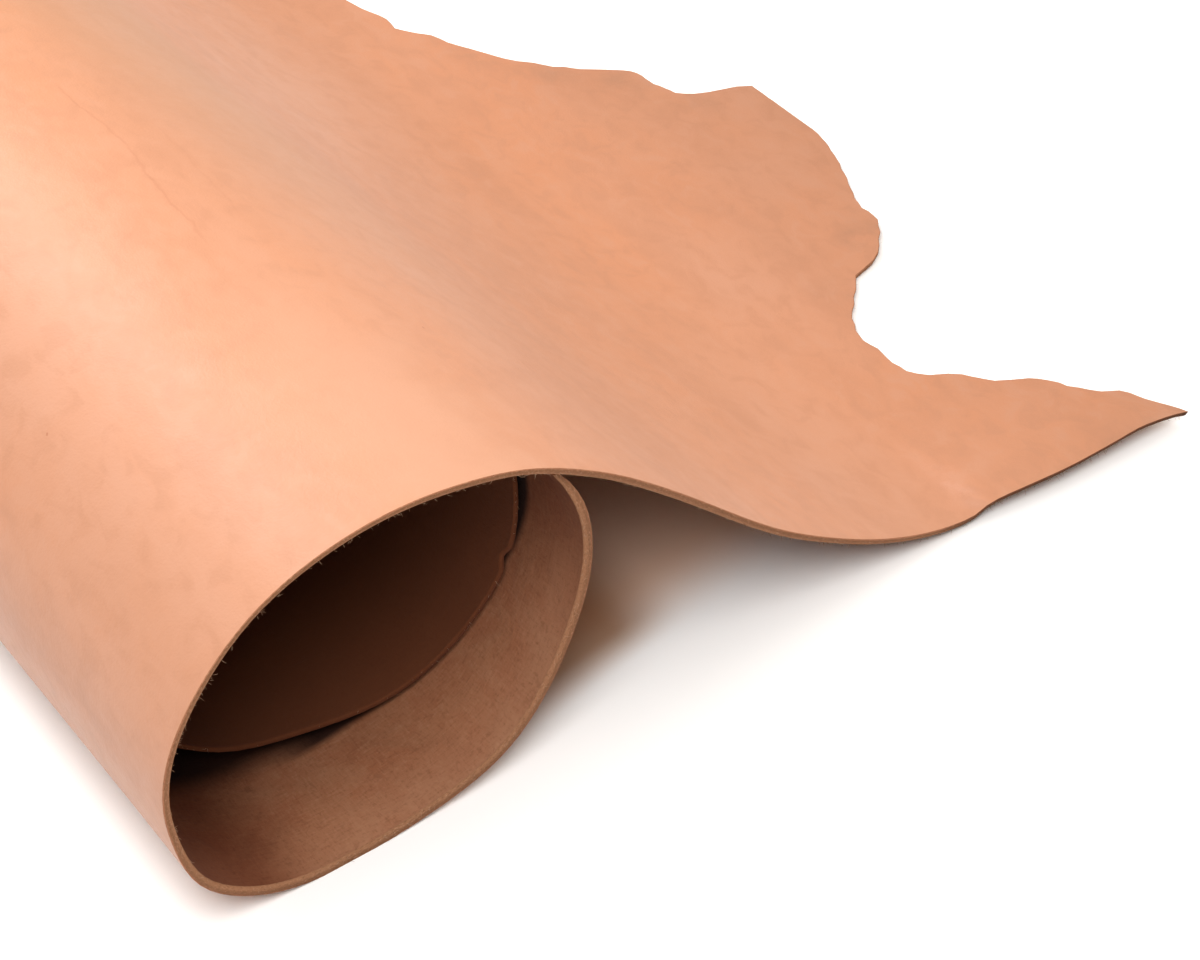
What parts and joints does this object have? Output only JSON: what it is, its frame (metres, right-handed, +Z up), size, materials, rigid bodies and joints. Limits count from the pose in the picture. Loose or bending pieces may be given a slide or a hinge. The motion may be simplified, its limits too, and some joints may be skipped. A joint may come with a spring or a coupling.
{
  "type": "leather side",
  "caption": "Side of thick vegetable tanned leather, partly rolled with its grain out: an open roll with a straight cut mouth, and a loose natural-edged end lying flat.",
  "frame": {"origin": "middle of the footprint, on the surface that the leather lies on", "axes": "+Y along the roll from its straight cut mouth to the belly edge, +X from the roll to the loose end, +Z up"},
  "size_m": [0.5698, 0.93, 0.1785],
  "materials": {
    "leather": "undyed natural tan, smooth satin grain, matt brown flesh side"
  },
  "bodies": {
    "root": {"leather_side": "leather"}
  },
  "joints": []
}
